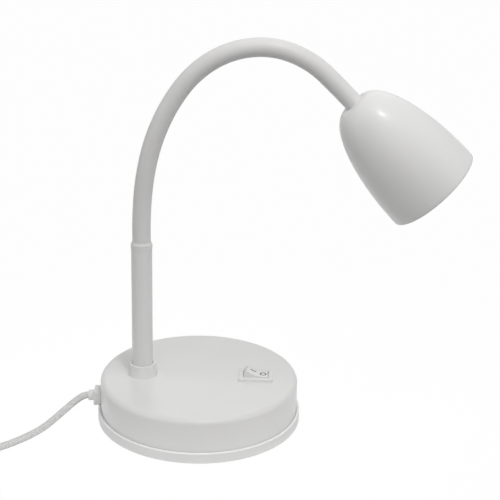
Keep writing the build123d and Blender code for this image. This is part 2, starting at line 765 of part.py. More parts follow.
with BuildPart() as shade:
    with BuildSketch(lathe_plane(head_plane(0))):
        with BuildLine():
            Line((NIPPLE_R + SLIDE, 0), (SHADE_CROWN_R, 0))
            EllipticalCenterArc(
                (SHADE_CROWN_R, SHADE_DEPTH),
                SHADE_MOUTH_R - SHADE_CROWN_R,
                SHADE_DEPTH,
                start_angle=-90,
                arc_size=90,
            )
            Line((SHADE_MOUTH_R, SHADE_DEPTH), (SHADE_MOUTH_R - SHADE_WALL, SHADE_DEPTH))
            EllipticalCenterArc(
                (SHADE_CROWN_R, SHADE_DEPTH),
                SHADE_MOUTH_R - SHADE_CROWN_R - SHADE_WALL,
                SHADE_DEPTH - SHADE_WALL,
                start_angle=-90,
                arc_size=90,
            )
            Polyline(
                (SHADE_CROWN_R, SHADE_WALL),
                (NIPPLE_R + SLIDE, SHADE_WALL),
                (NIPPLE_R + SLIDE, 0),
            )
        make_face()
    revolve(axis=Axis(crown, head_axis))
save(shade.part, "shade")

with BuildPart() as head_nipple:
    with BuildSketch(head_plane(-NIPPLE_IN_NECK)):
        Circle(NIPPLE_R)
        Circle(NIPPLE_BORE_R, mode=Mode.SUBTRACT)
    extrude(amount=NIPPLE_IN_NECK + nipple_end)
save(head_nipple.part, "head_nipple")

with BuildPart() as head_washer:
    with BuildSketch(head_plane(SHADE_WALL + RUNNING)):
        Circle(HEAD_WASHER_R)
        Circle(NIPPLE_R + SLIDE, mode=Mode.SUBTRACT)
    extrude(amount=HEAD_WASHER_HEIGHT)
save(head_washer.part, "head_washer")

with BuildPart() as head_nuts:
    for top in (strap_top - HEAD_NUT_HEIGHT, second_nut_top):
        with BuildSketch(head_plane(top)):
            RegularPolygon(HEAD_NUT_FLATS / 2, 6, major_radius=False)
            Circle(NIPPLE_R + RUNNING, mode=Mode.SUBTRACT)
        extrude(amount=HEAD_NUT_HEIGHT)
save(head_nuts.part, "head_nuts")

with BuildPart() as holder_bracket:
    with BuildSketch(head_plane(strap_top)):
        Rectangle(2 * strap_half, STRAP_WIDTH)
        Circle(HEAD_NUT_FLATS / 2)
        Circle(NIPPLE_R + SLIDE, mode=Mode.SUBTRACT)
    extrude(amount=STRAP_THICKNESS)
    with BuildSketch(head_plane(strap_top)):
        with GridLocations(HOLDER_LENGTH + STRAP_THICKNESS, 0, 2, 1):
            Rectangle(STRAP_THICKNESS, STRAP_WIDTH)
    extrude(amount=STRAP_LEG)
    for side in (-1, 1):
        with Locations(flank_plane(side, strap_half)):
            Hole(HOLDER_SCREW_R + SLIDE, depth=STRAP_THICKNESS)
save(holder_bracket.part, "holder_bracket")

with BuildPart() as lampholder:
    with BuildSketch(head_plane(holder_top)):
        RectangleRounded(HOLDER_LENGTH, HOLDER_WIDTH, HOLDER_ROUND)
    extrude(amount=HOLDER_HEIGHT)
    with BuildSketch(head_plane(bulb_top)):
        with GridLocations(BULB_PIN_PITCH, 0, 2, 1):
            Circle(BULB_PIN_HEAD_R + FIT)
    extrude(amount=-(BULB_PIN_LENGTH + FIT), mode=Mode.SUBTRACT)
    for side in (-1, 1):
        with Locations(flank_plane(side, HOLDER_LENGTH / 2)):
            Hole(HOLDER_SCREW_R + RUNNING, depth=HOLDER_SCREW_REACH)
save(lampholder.part, "lampholder")

with BuildPart() as holder_screws:
    for side in (-1, 1):
        with Locations(flank_plane(side, strap_half)):
            Cylinder(
                HOLDER_SCREW_HEAD_R,
                HOLDER_SCREW_HEAD,
                align=(Align.CENTER, Align.CENTER, Align.MIN),
            )
            Cylinder(
                HOLDER_SCREW_R,
                HOLDER_SCREW_REACH,
                align=(Align.CENTER, Align.CENTER, Align.MAX),
            )
save(holder_screws.part, "holder_screws")

with BuildPart() as lamp_leads:
    with BuildSketch(head_plane(-NIPPLE_IN_NECK)):
        with GridLocations(0, 3 * WIRE_R, 1, 2):
            Circle(WIRE_R)
    extrude(amount=NIPPLE_IN_NECK + holder_top)
save(lamp_leads.part, "lamp_leads")

lens_back = bulb_top + BULB_LENGTH - LENS_THICKNESS
with BuildPart() as bulb_body:
    with BuildSketch(lathe_plane(head_plane(0))):
        with BuildLine():
            flare_start = (BULB_NECK_R, bulb_top + BULB_NECK)
            flare_end = (BULB_R, bulb_top + BULB_LENGTH - BULB_RIM)
            bulge = (
                (flare_start[0] + flare_end[0]) / 2 + BULB_FLARE_BULGE,
                (flare_start[1] + flare_end[1]) / 2,
            )
            Polyline((0, bulb_top), (BULB_NECK_R, bulb_top), flare_start)
            ThreePointArc(flare_start, bulge, flare_end)
            Polyline(
                flare_end,
                (BULB_R, bulb_top + BULB_LENGTH),
                (LENS_R + SLIDE, bulb_top + BULB_LENGTH),
                (LENS_R + SLIDE, lens_back),
                (0, lens_back),
                (0, bulb_top),
            )
        make_face()
    revolve(axis=Axis(crown, head_axis))
save(bulb_body.part, "bulb_body")

with BuildPart() as bulb_lens:
    with BuildSketch(head_plane(lens_back)):
        Circle(LENS_R)
    extrude(amount=LENS_THICKNESS)
save(bulb_lens.part, "bulb_lens")

with BuildPart() as bulb_pins:
    with BuildSketch(head_plane(bulb_top)):
        with GridLocations(BULB_PIN_PITCH, 0, 2, 1):
            Circle(BULB_PIN_R)
    extrude(amount=-(BULB_PIN_LENGTH - BULB_PIN_HEAD))
    with BuildSketch(head_plane(bulb_top - BULB_PIN_LENGTH + BULB_PIN_HEAD)):
        with GridLocations(BULB_PIN_PITCH, 0, 2, 1):
            Circle(BULB_PIN_HEAD_R)
    extrude(amount=-BULB_PIN_HEAD)
save(bulb_pins.part, "bulb_pins")

# Mains cord from the gland to the plug

floor_z = CORD_R + FLOOR_GAP
coil_x, coil_y = COIL_CENTRE


def coil_point(quarters):
    """A point of the coil and its direction there, after so many quarter turns."""
    layers, within = divmod(quarters, COIL_LAYER_QUARTERS)
    inwards = layers % 2 == 0
    wound = within if inwards else COIL_LAYER_QUARTERS - within
    radius = COIL_OUTER_R - COIL_PITCH * wound / 4
    angle = radians(COIL_START_ANGLE - 90 * quarters)
    outward = Vector(cos(angle), sin(angle), 0)
    onward = Vector(outward.Y, -outward.X, 0) * radius
    spread = COIL_PITCH / (2 * pi) * (-1 if inwards else 1)
    level, climb = layers, 0
    reversing = within == 0 and quarters > 0
    if reversing:
        level, spread, climb = layers - 0.5, 0, 2 * COIL_PITCH / pi
    place = Vector(coil_x, coil_y, floor_z + level * COIL_PITCH) + outward * radius
    return place, (onward + outward * spread + Vector(0, 0, climb)).normalized()


def biarc(start, start_way, end, end_way):
    """Two arcs that leave one point and reach another in the ways given."""
    reach, ways = end - start, start_way + end_way
    a, b, c = ways.dot(ways) - 4, -2 * reach.dot(ways), reach.dot(reach)
    arm = (-b - sqrt(b * b - 4 * a * c)) / (2 * a)
    near_elbow, far_elbow = start + start_way * arm, end - end_way * arm
    meet = (near_elbow + far_elbow) / 2
    TangentArc(start, meet, tangent=start_way)
    TangentArc(meet, end, tangent=(far_elbow - near_elbow).normalized())


coil_stops = [*range(COIL_QUARTERS + 1), COIL_QUARTERS + COIL_LAST_STEP]
coil_start, coil_start_way = coil_point(coil_stops[0])
coil_end, coil_end_way = coil_point(coil_stops[-1])
coil_in = coil_start - coil_start_way * 2 * CORD_R
coil_out = coil_end + coil_end_way * 2 * CORD_R

with BuildPart() as cord_coil:
    with BuildLine() as coil_line:
        Line(coil_in, coil_start)
        for stop, next_stop in zip(coil_stops, coil_stops[1:]):
            biarc(*coil_point(stop), *coil_point(next_stop))
        Line(coil_end, coil_out)
    with BuildSketch(Plane(origin=coil_in, z_dir=coil_start_way)):
        Circle(CORD_R)
    sweep()
save(cord_coil.part, "cord_coil")

lead_route = [
    (gland_tip_x, 0, CORD_Z),
    (-85.2, 0.0, CORD_Z),
    (-92.0, -1.2, 8.0),
    (-97.0, -3.9, 4.3),
    (-101.4, -10.8, floor_z),
    (-105.6, -23.6, floor_z),
    (-111.6, -36.6, floor_z),
    (-120.0, -48.6, floor_z),
    (-130.4, -59.2, floor_z),
    tuple(coil_in - coil_start_way * 17),
    tuple(coil_in),
]
save(round_tube(lead_route, CORD_R), "cord_lead")

plug_z = PLUG_THICKNESS / 2
nose_start = (-205.0, 33.0, plug_z)
tail_route = [
    tuple(coil_out),
    tuple(coil_out + coil_end_way * 24),
    (-212.6, -10.0, 15.9),
    (-210.8, -1.5, 10.0),
    (-207.5, 9.0, 6.2),
    (-205.0, 21.0, plug_z),
    nose_start,
]
save(round_tube(tail_route, CORD_R), "cord_tail")


def plug_plane(reach):
    """The plane across the plug at a distance from the start of its nose."""
    return Plane(
        origin=(nose_start[0], nose_start[1] + reach, plug_z), x_dir=(1, 0, 0), z_dir=(0, 1, 0)
    )


with BuildPart() as plug_body:
    with BuildSketch(plug_plane(0)):
        Circle(PLUG_NOSE_TIP_R)
    with BuildSketch(plug_plane(PLUG_NOSE)):
        Circle(PLUG_NOSE_R)
    loft()
    with BuildSketch(plug_plane(PLUG_NOSE)):
        Rectangle(PLUG_BACK_WIDTH, PLUG_BACK_THICKNESS)
    with BuildSketch(plug_plane(PLUG_NOSE + PLUG_LENGTH)):
        Rectangle(PLUG_WIDTH, PLUG_THICKNESS)
    loft()
    with BuildSketch(plug_plane(PLUG_NOSE + PLUG_LENGTH)):
        with GridLocations(PLUG_PIN_PITCH, 0, 2, 1):
            Circle(PLUG_PIN_R + RUNNING)
    extrude(amount=-PLUG_SLEEVE_LENGTH, mode=Mode.SUBTRACT)
save(plug_body.part, "plug_body")

plug_face = PLUG_NOSE + PLUG_LENGTH
with BuildPart() as plug_pins:
    with BuildSketch(plug_plane(plug_face - PLUG_SLEEVE_LENGTH)):
        with GridLocations(PLUG_PIN_PITCH, 0, 2, 1):
            Circle(PLUG_SLEEVE_R - PLUG_SLEEVE_WALL)
    extrude(amount=2 * PLUG_SLEEVE_LENGTH)
    with BuildSketch(plug_plane(plug_face + PLUG_SLEEVE_LENGTH)):
        with GridLocations(PLUG_PIN_PITCH, 0, 2, 1):
            Circle(PLUG_PIN_R)
    extrude(amount=PLUG_PIN_LENGTH - PLUG_SLEEVE_LENGTH)
    fillet(plug_pins.edges().group_by(Axis.Y)[-1], PLUG_PIN_R / 2)
save(plug_pins.part, "plug_pins")

with BuildPart() as plug_pin_sleeves:
    with BuildSketch(plug_plane(plug_face)):
        with GridLocations(PLUG_PIN_PITCH, 0, 2, 1):
            Circle(PLUG_SLEEVE_R)
            Circle(PLUG_SLEEVE_R - PLUG_SLEEVE_WALL, mode=Mode.SUBTRACT)
    extrude(amount=PLUG_SLEEVE_LENGTH)
save(plug_pin_sleeves.part, "plug_pin_sleeves")

# What the cord measures

print("lead radii", [round(r) for r in bend_radii(lead_route)])
print("tail radii", [round(r) for r in bend_radii(tail_route)])
samples = [coil_line.line @ (i / 3000) for i in range(3001)]
near = [
    (samples[i] - samples[j]).length
    for i in range(0, 3001, 6)
    for j in range(i + 60, 3001, 3)
]
print("least gap of the coil to itself", round(min(near) - 2 * CORD_R, 2))
print("coil length", round(sum(edge.length for edge in coil_line.edges())))
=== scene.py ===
import json
from math import atan2, copysign, cos, pi, radians, sin

import bmesh
import bpy
from mathutils import Matrix, Quaternion, Vector


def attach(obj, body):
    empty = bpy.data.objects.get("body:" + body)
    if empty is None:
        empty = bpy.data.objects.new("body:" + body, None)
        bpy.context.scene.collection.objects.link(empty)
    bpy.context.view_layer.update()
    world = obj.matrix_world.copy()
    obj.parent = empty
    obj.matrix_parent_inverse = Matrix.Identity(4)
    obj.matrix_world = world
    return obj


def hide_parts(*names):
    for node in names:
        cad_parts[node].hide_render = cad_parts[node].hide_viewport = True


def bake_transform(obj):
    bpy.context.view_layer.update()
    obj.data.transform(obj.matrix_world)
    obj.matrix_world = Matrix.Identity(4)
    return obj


# White table lamp with a gooseneck: the finished surfaces around the fixed frame.
# Metres. The origin is on the table under the middle of the foot, +Z is up.

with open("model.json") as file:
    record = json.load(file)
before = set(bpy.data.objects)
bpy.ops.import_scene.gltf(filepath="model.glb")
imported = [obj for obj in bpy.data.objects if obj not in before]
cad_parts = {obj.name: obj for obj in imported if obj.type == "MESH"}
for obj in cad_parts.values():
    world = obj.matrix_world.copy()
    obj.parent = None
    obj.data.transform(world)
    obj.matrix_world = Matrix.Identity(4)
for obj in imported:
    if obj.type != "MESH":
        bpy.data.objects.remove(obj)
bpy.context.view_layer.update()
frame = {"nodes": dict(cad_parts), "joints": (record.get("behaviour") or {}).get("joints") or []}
nodes = frame["nodes"]
joints = {joint["name"]: joint for joint in frame["joints"]}
MM = 0.001
# Points nearer to each other than this are one
MERGE_REACH = MM / 1000

# Camera, fitted to the foot's two ellipses
CAMERA_PLACE = Vector((61.99, -965.26, 505.98)) * MM
CAMERA_RIGHT = Vector((0.999221, 0.034775, 0.01867))
CAMERA_UP = Vector((-0.029972, 0.360716, 0.932194))
CAMERA_FORWARD = Vector((-0.025683, 0.932027, -0.361477))
CAMERA_LENS = 105.41
CAMERA_SENSOR = 36
CAMERA_NEAR = 0.02

# Neck
NECK_R = 6.55 * MM
NECK_RING_STEP = 0.9 * MM
NECK_SIDES = 56
NECK_ROOT_DEPTH = 18 * MM
SEGMENT = 27.9 * MM
STEM_X = -41.5 * MM
STEM_TOP = 133.5 * MM
LAST_TURN = radians(3)
SLEEVE_FLARE = [
    (6.3, 0.1), (7.55, 0.1), (7.6, 0.3), (7.35, 0.9), (6.95, 1.8), (6.6, 2.5), (6.3, 2.6),
]

# Mains cord
CORD_R = 2.55 * MM
CORD_REST_Z = 2.6 * MM
CORD_LEAD = [
    (-81.5, 0, 13.2), (-84.9, 0, 13), (-92, -1.3, 8), (-97.2, -4.6, 4), (-101, -10.4, 2.6),
    (-105.6, -23.6, 2.6), (-111.6, -36.6, 2.6), (-120, -48.6, 2.6), (-130.2, -59.8, 2.6),
]
CORD_TAIL = [
    (-212.6, -10, 15.9), (-210.8, -1.5, 10), (-207.5, 9, 6.2), (-205, 21, 6.85), (-205, 33, 6.85),
]
COIL_CENTRE = Vector((-181.3, -51.5, 0)) * MM
COIL_OUTER_R = 35 * MM
COIL_PITCH = 5.65 * MM
COIL_LAYER_QUARTERS = 10
COIL_QUARTERS = 37
COIL_LAST_STEP = 0.36
COIL_START_ANGLE = radians(-58)
COIL_POINTS_PER_QUARTER = 6
COIL_RUN = 5.1 * MM
COIL_RUN_IN = 17 * MM
COIL_RUN_OUT = 24 * MM
COIL_NUDGE = 0.01

# Plug: sections as reach along it, half width, half thickness and squareness.
# Its nose has ribs, each given by steps along it and how far they are drawn in.
PLUG_START = Vector(CORD_TAIL[-1]) * MM
PLUG_SIDES = 64
PLUG_NOSE_START = 0.4
PLUG_NOSE_R = 3.2
PLUG_NOSE_TAPER = 0.045
PLUG_NOSE_RIBS = 8
PLUG_RIB_PITCH = 2.6
PLUG_RIB = [(0, 0.15), (0.25, 0), (1.5, 0), (1.7, 0.55), (2.4, 0.55)]
PLUG_SHELL = [
    (21.6, 4.3, 4.2, 2.0), (22.4, 6.2, 4.6, 2.6), (24.0, 7.4, 4.95, 3.0), (28.0, 8.8, 5.2, 3.4),
    (34.0, 10.4, 5.5, 3.8), (40.0, 12.5, 5.9, 4.0), (46.0, 15.2, 6.4, 4.4), (50.0, 16.7, 6.7, 5.0),
    (52.9, 17.2, 6.8, 5.4), (53.7, 16.9, 6.55, 5.4), (54.0, 16.3, 6.0, 5.4),
]

# Rocker: its pivot, resting tilt and half outline, from the middle of its top to its underside
ROCKER_PIVOT = Vector((41.5, 0, 32.5)) * MM
ROCKER_TILT = radians(15)
ROCKER_HALF_WIDTH = 5.6 * MM
ROCKER_OUTLINE = [
    (0, 3.2), (7.15, 4.66), (7.5, 4.68), (7.9, 4.4), (8.35, 3.65), (8.72, 2.75), (9.0, 1.8),
    (9.14, 0.9), (9.18, 0), (9.03, -1.6), (8.68, -3),
]
ROCKER_EDGE = 0.25 * MM
ROCKER_PLACE = Matrix.Translation(ROCKER_PIVOT) @ Matrix.Rotation(ROCKER_TILT, 4, "Y")

# Marks on the rocker: a bar's half length, half width and level, a ring's radius and level
MARK_ON = Vector((-3.05, 0.7, 3.83)) * MM
MARK_OFF = Vector((4.4, -1.2, 4.1)) * MM
MARK_SLOPE = radians(11.6)
MARK_PROUD = 0.05 * MM
MARK_BAR = [(2.4, 0.55, -1), (2.4, 0.55, 0.6), (2.35, 0.5, 1)]
MARK_BAR_SQUARENESS = 8
MARK_RING = [(1.6, -1), (2.45, -1), (2.45, 0.6), (2.4, 1), (1.65, 1), (1.6, 0.6)]

# Bezel: rings as half length, half width and height
BEZEL_MIDDLE = Vector((41.5, 0, 0)) * MM
BEZEL_RINGS = [
    (12.32, 9.17, 32.42), (12.32, 9.17, 34.2), (12.24, 9.09, 34.38), (12.05, 8.9, 34.46),
    (9.3, 5.88, 34.46), (9.22, 5.8, 34.4), (9.22, 5.8, 33.9),
]
BEZEL_SQUARENESS = 24

# Foot's bead, which closes the seam over its rim, as radius and height
RIM_BEAD = [
    (72.02, 6.8), (73.9, 6.8), (73.9, 7.42), (73.72, 7.68), (73.4, 7.88), (73.0, 7.96),
    (72.55, 7.88), (72.2, 7.68), (72.02, 7.4),
]
RIM_BEAD_SIDES = 180

# Shade: quarter ellipses from the crown to the mouth, and the rounded lip
CROWN_R = 8.5
MOUTH_R = 35.5
SHADE_DEPTH = 83.0
SHADE_WALL = 1.0
SHADE_STEPS = 40
SHADE_SIDES = 128
CROWN_HOLE_R = 5.1
SHADE_LIP = [
    (35.49, 82.1), (35.42, 82.5), (35.22, 82.82), (34.9, 82.99), (34.62, 82.95), (34.5, 82.75),
]

# Studio: the floor's tones and where they change, the sky, and what the softboxes face
FLOOR_HALF = 12
FLOOR_WHITE_R = 0.1
FLOOR_GREY_R = 0.34
FLOOR_WHITE = 0.96
FLOOR_GREY = 0.15
FLOOR_ROUGHNESS = 0.8
FLOOR_GLOW = 0.985
SKY_STRENGTH = 0.27
NECK_AIM = (0.05, 0, 0.15)
LAMP_AIM = (0, 0, 0.12)
ON_CORNER = pi / 4


def new_object(mesh_maker, name, body, material, smooth_angle=35):
    """Makes a piece from a function that fills its mesh, and lets it ride on a body, if given."""
    mesh = bpy.data.meshes.new(name)
    shape = bmesh.new()
    mesh_maker(shape)
    shape.to_mesh(mesh)
    shape.free()
    mesh.shade_smooth()
    mesh.set_sharp_from_angle(angle=radians(smooth_angle))
    piece = bpy.data.objects.new(name, mesh)
    bpy.context.scene.collection.objects.link(piece)
    mesh.materials.append(material)
    if body:
        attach(piece, body)
    return piece


def ring(shape, sides, place, half_x, half_y, squareness=2):
    """Edges of a ring across a place: round, or nearer a rectangle as squareness goes up."""
    verts = bmesh.ops.create_circle(shape, segments=sides, radius=1)["verts"]
    for vert in verts:
        across, along, power = vert.co.x, vert.co.y, 2 / squareness
        vert.co = place @ Vector((
            copysign(abs(across) ** power, across) * half_x,
            copysign(abs(along) ** power, along) * half_y,
            0,
        ))
    return list({edge for vert in verts for edge in vert.link_edges})


def lofted(shape, sections, sides=48):
    """A closed solid through rings, each given as its place and its two half widths."""
    rings = [ring(shape, sides, *section) for section in sections]
    for lower, upper in zip(rings, rings[1:]):
        bmesh.ops.bridge_loops(shape, edges=lower + upper)
    for end in (rings[0], rings[-1]):
        bmesh.ops.contextual_create(shape, geom=end)
    bmesh.ops.recalc_face_normals(shape, faces=shape.faces)


def turned(shape, outline, place, sides=72, height_unit=MM):
    """A hollow turned ring: an outline of radius and height in mm, spun about a place's Z."""
    verts = [
        bmesh.ops.create_vert(shape, co=(radius * MM, 0, height * height_unit))["vert"][0]
        for radius, height in outline
    ]
    for vert, after in zip(verts, verts[1:] + verts[:1]):
        bmesh.ops.contextual_create(shape, geom=[vert, after])
    bmesh.ops.spin(
        shape, geom=verts + list(shape.edges), axis=(0, 0, 1), cent=(0, 0, 0),
        angle=2 * pi, steps=sides,
    )
    bmesh.ops.remove_doubles(shape, verts=shape.verts, dist=MERGE_REACH)
    bmesh.ops.recalc_face_normals(shape, faces=shape.faces)
    bmesh.ops.transform(shape, matrix=place, verts=shape.verts)


# Materials


class Nodes:
    """A small helper that adds shader nodes, sets their inputs and links them."""

    def __init__(self, tree):
        self.tree = tree

    def add(self, kind, values=None, **settings):
        node = self.tree.nodes.new(kind)
        for key, value in settings.items():
            setattr(node, key, value)
        set_inputs(node, values or {})
        return node

    def link(self, source, target):
        self.tree.links.new(source, target)


def set_inputs(node, values):
    """Gives a node's inputs, by name or number, their values."""
    for label, value in values.items():
        node.inputs[label].default_value = value


def effect_group(name, inputs, outputs):
    """An empty shader group: inputs with their defaults, outputs with their types."""
    tree = bpy.data.node_groups.new(name, "ShaderNodeTree")
    for label, value in inputs.items():
        kind = "NodeSocketColor" if isinstance(value, tuple) else "NodeSocketFloat"
        socket = tree.interface.new_socket(label, in_out="INPUT", socket_type=kind)
        socket.default_value = value
    for label, kind in outputs.items():
        tree.interface.new_socket(label, in_out="OUTPUT", socket_type=kind)
    kit = Nodes(tree)
    return kit, kit.add("NodeGroupInput"), kit.add("NodeGroupOutput")


def tone_drift_group():
    """A slow drift between two tones, with fine flecks."""
    kit, given, result = effect_group(
        "tone_drift",
        {"Light": (0.8, 0.8, 0.8, 1), "Dark": (0.7, 0.7, 0.7, 1), "Scale": 18.0, "Fleck": 0.15},
        {"Color": "NodeSocketColor"},
    )
    place = kit.add("ShaderNodeTexCoord")
    slow = kit.add("ShaderNodeTexNoise", {"Detail": 3})
    fine = kit.add("ShaderNodeTexNoise", {"Scale": 1400, "Detail": 2})
    fleck = kit.add("ShaderNodeMath", operation="MULTIPLY_ADD")
    drift = kit.add("ShaderNodeMapRange", {"From Min": 0.3, "From Max": 0.75})
    mix = kit.add("ShaderNodeMix", data_type="RGBA")
    kit.link(place.outputs["Object"], slow.inputs["Vector"])
    kit.link(place.outputs["Object"], fine.inputs["Vector"])
    kit.link(given.outputs["Scale"], slow.inputs["Scale"])
    kit.link(fine.outputs["Fac"], fleck.inputs[0])
    kit.link(given.outputs["Fleck"], fleck.inputs[1])
    kit.link(slow.outputs["Fac"], fleck.inputs[2])
    kit.link(fleck.outputs["Value"], drift.inputs["Value"])
    kit.link(drift.outputs["Result"], mix.inputs["Factor"])
    kit.link(given.outputs["Light"], mix.inputs["A"])
    kit.link(given.outputs["Dark"], mix.inputs["B"])
    kit.link(mix.outputs["Result"], result.inputs["Color"])
    return kit.tree


def grain_group():
    """Height of a fine moulded or sprayed grain, and a slow waviness under it."""
    kit, given, result = effect_group(
        "grain",
        {"Scale": 900.0, "Wave Scale": 60.0, "Wave": 0.5},
        {"Height": "NodeSocketFloat"},
    )
    place = kit.add("ShaderNodeTexCoord")
    grain = kit.add("ShaderNodeTexNoise", {"Detail": 4, "Roughness": 0.55})
    wave = kit.add("ShaderNodeTexNoise", {"Detail": 1})
    total = kit.add("ShaderNodeMath", operation="MULTIPLY_ADD")
    for texture, scale in ((grain, "Scale"), (wave, "Wave Scale")):
        kit.link(place.outputs["Object"], texture.inputs["Vector"])
        kit.link(given.outputs[scale], texture.inputs["Scale"])
    kit.link(wave.outputs["Fac"], total.inputs[0])
    kit.link(given.outputs["Wave"], total.inputs[1])
    kit.link(grain.outputs["Fac"], total.inputs[2])
    kit.link(total.outputs["Value"], result.inputs["Height"])
    return kit.tree


def handling_group():
    """Roughness that varies where the surface was touched and wiped, with a few hairline rubs."""
    kit, given, result = effect_group(
        "handling",
        {"Smooth": 0.35, "Rough": 0.45, "Scale": 35.0, "Rubs": 0.12},
        {"Roughness": "NodeSocketFloat"},
    )
    place = kit.add("ShaderNodeTexCoord")
    patches = kit.add("ShaderNodeTexNoise", {"Detail": 6, "Distortion": 0.6})
    spread = kit.add("ShaderNodeMapRange", {"From Min": 0.35, "From Max": 0.65})
    kit.link(place.outputs["Object"], patches.inputs["Vector"])
    kit.link(given.outputs["Scale"], patches.inputs["Scale"])
    kit.link(patches.outputs["Fac"], spread.inputs["Value"])
    kit.link(given.outputs["Smooth"], spread.inputs["To Min"])
    kit.link(given.outputs["Rough"], spread.inputs["To Max"])
    stretch = kit.add(
        "ShaderNodeMapping", {"Rotation": (0.5, 0.35, 0.8), "Scale": (25, 700, 700)},
    )
    hairs = kit.add("ShaderNodeTexNoise", {"Scale": 1, "Detail": 1})
    few = kit.add("ShaderNodeMapRange", {"From Min": 0.7, "From Max": 0.76})
    total = kit.add("ShaderNodeMath", operation="MULTIPLY_ADD")
    kit.link(place.outputs["Object"], stretch.inputs["Vector"])
    kit.link(stretch.outputs["Vector"], hairs.inputs["Vector"])
    kit.link(hairs.outputs["Fac"], few.inputs["Value"])
    kit.link(few.outputs["Result"], total.inputs[0])
    kit.link(given.outputs["Rubs"], total.inputs[1])
    kit.link(spread.outputs["Result"], total.inputs[2])
    kit.link(total.outputs["Value"], result.inputs["Roughness"])
    return kit.tree


def cells_group():
    """Height of small round cells, as foam or a dimpled lens has."""
    kit, given, result = effect_group("cells", {"Scale": 600.0}, {"Height": "NodeSocketFloat"})
    place = kit.add("ShaderNodeTexCoord")
    cells = kit.add("ShaderNodeTexVoronoi", feature="SMOOTH_F1")
    set_inputs(cells, {"Smoothness": 0.3})
    kit.link(place.outputs["Object"], cells.inputs["Vector"])
    kit.link(given.outputs["Scale"], cells.inputs["Scale"])
    kit.link(cells.outputs["Distance"], result.inputs["Height"])
    return kit.tree


def tool_lines_group():
    """Height of the fine lines that turning and drawing leave on bare metal."""
    kit, given, result = effect_group("tool_lines", {"Scale": 60.0}, {"Height": "NodeSocketFloat"})
    place = kit.add("ShaderNodeTexCoord")
    stretch = kit.add("ShaderNodeMapping", {"Scale": (1, 1, 40)})
    lines = kit.add("ShaderNodeTexNoise", {"Detail": 3})
    kit.link(place.outputs["Object"], stretch.inputs["Vector"])
    kit.link(stretch.outputs["Vector"], lines.inputs["Vector"])
    kit.link(given.outputs["Scale"], lines.inputs["Scale"])
    kit.link(lines.outputs["Fac"], result.inputs["Height"])
    return kit.tree


def edge_wear_group():
    """The colour along worn edges: a touch of another tone where two faces meet."""
    kit, given, result = effect_group(
        "edge_wear",
        {"Color": (0.8, 0.8, 0.8, 1), "Worn": (0.6, 0.6, 0.6, 1), "Width": 0.0005, "Share": 0.35},
        {"Color": "NodeSocketColor"},
    )
    rounded = kit.add("ShaderNodeBevel", samples=4)
    surface = kit.add("ShaderNodeNewGeometry")
    bend = kit.add("ShaderNodeVectorMath", operation="DOT_PRODUCT")
    edge = kit.add("ShaderNodeMapRange", {"From Min": 0.98, "From Max": 0.8})
    place = kit.add("ShaderNodeTexCoord")
    broken = kit.add("ShaderNodeTexNoise", {"Scale": 180, "Detail": 4})
    patches = kit.add("ShaderNodeMapRange", {"From Min": 0.4, "From Max": 0.62})
    share = kit.add("ShaderNodeMath", operation="MULTIPLY")
    amount = kit.add("ShaderNodeMath", operation="MULTIPLY")
    mix = kit.add("ShaderNodeMix", data_type="RGBA")
    kit.link(given.outputs["Width"], rounded.inputs["Radius"])
    kit.link(rounded.outputs["Normal"], bend.inputs[0])
    kit.link(surface.outputs["Normal"], bend.inputs[1])
    kit.link(bend.outputs["Value"], edge.inputs["Value"])
    kit.link(place.outputs["Object"], broken.inputs["Vector"])
    kit.link(broken.outputs["Fac"], patches.inputs["Value"])
    kit.link(patches.outputs["Result"], share.inputs[0])
    kit.link(given.outputs["Share"], share.inputs[1])
    kit.link(share.outputs["Value"], amount.inputs[0])
    kit.link(edge.outputs["Result"], amount.inputs[1])
    kit.link(amount.outputs["Value"], mix.inputs["Factor"])
    kit.link(given.outputs["Color"], mix.inputs["A"])
    kit.link(given.outputs["Worn"], mix.inputs["B"])
    kit.link(mix.outputs["Result"], result.inputs["Color"])
    return kit.tree


TONE_DRIFT = tone_drift_group()
GRAIN = grain_group()
HANDLING = handling_group()
EDGE_WEAR = edge_wear_group()
RELIEF = {"grain": GRAIN, "cells": cells_group(), "tool_lines": tool_lines_group()}


def finish_material(
    name, light, dark, smooth, rough, bump, bump_distance=0.0004, relief="grain", grain_scale=900,
    wave=0.5, wave_scale=60, drift_scale=18, fleck=0.15, worn=0.8, metallic=0, specular=0.5,
    sheen=0, coat=0, coat_roughness=0.15,
):
    """A surface with tone drift, worn edges, varied roughness and relief, on its own shader."""
    material = bpy.data.materials.new(name)
    material.use_nodes = True
    kit = Nodes(material.node_tree)
    shader = material.node_tree.nodes["Principled BSDF"]
    tone = kit.add("ShaderNodeGroup", node_tree=TONE_DRIFT)
    set_inputs(tone, {
        "Light": (*light, 1), "Dark": (*dark, 1), "Scale": drift_scale, "Fleck": fleck,
    })
    edges = kit.add("ShaderNodeGroup", node_tree=EDGE_WEAR)
    set_inputs(edges, {"Worn": (*(value * worn for value in dark), 1)})
    wear = kit.add("ShaderNodeGroup", node_tree=HANDLING)
    set_inputs(wear, {"Smooth": smooth, "Rough": rough})
    texture = kit.add("ShaderNodeGroup", node_tree=RELIEF[relief])
    set_inputs(texture, {"Scale": grain_scale})
    if relief == "grain":
        set_inputs(texture, {"Wave Scale": wave_scale, "Wave": wave})
    raised = kit.add("ShaderNodeBump", {"Strength": bump, "Distance": bump_distance})
    kit.link(tone.outputs["Color"], edges.inputs["Color"])
    kit.link(edges.outputs["Color"], shader.inputs["Base Color"])
    kit.link(wear.outputs["Roughness"], shader.inputs["Roughness"])
    kit.link(texture.outputs["Height"], raised.inputs["Height"])
    kit.link(raised.outputs["Normal"], shader.inputs["Normal"])
    set_inputs(shader, {
        "Metallic": metallic, "Specular IOR Level": specular, "Sheen Weight": sheen,
        "Coat Weight": coat, "Coat Roughness": coat_roughness,
    })
    return material


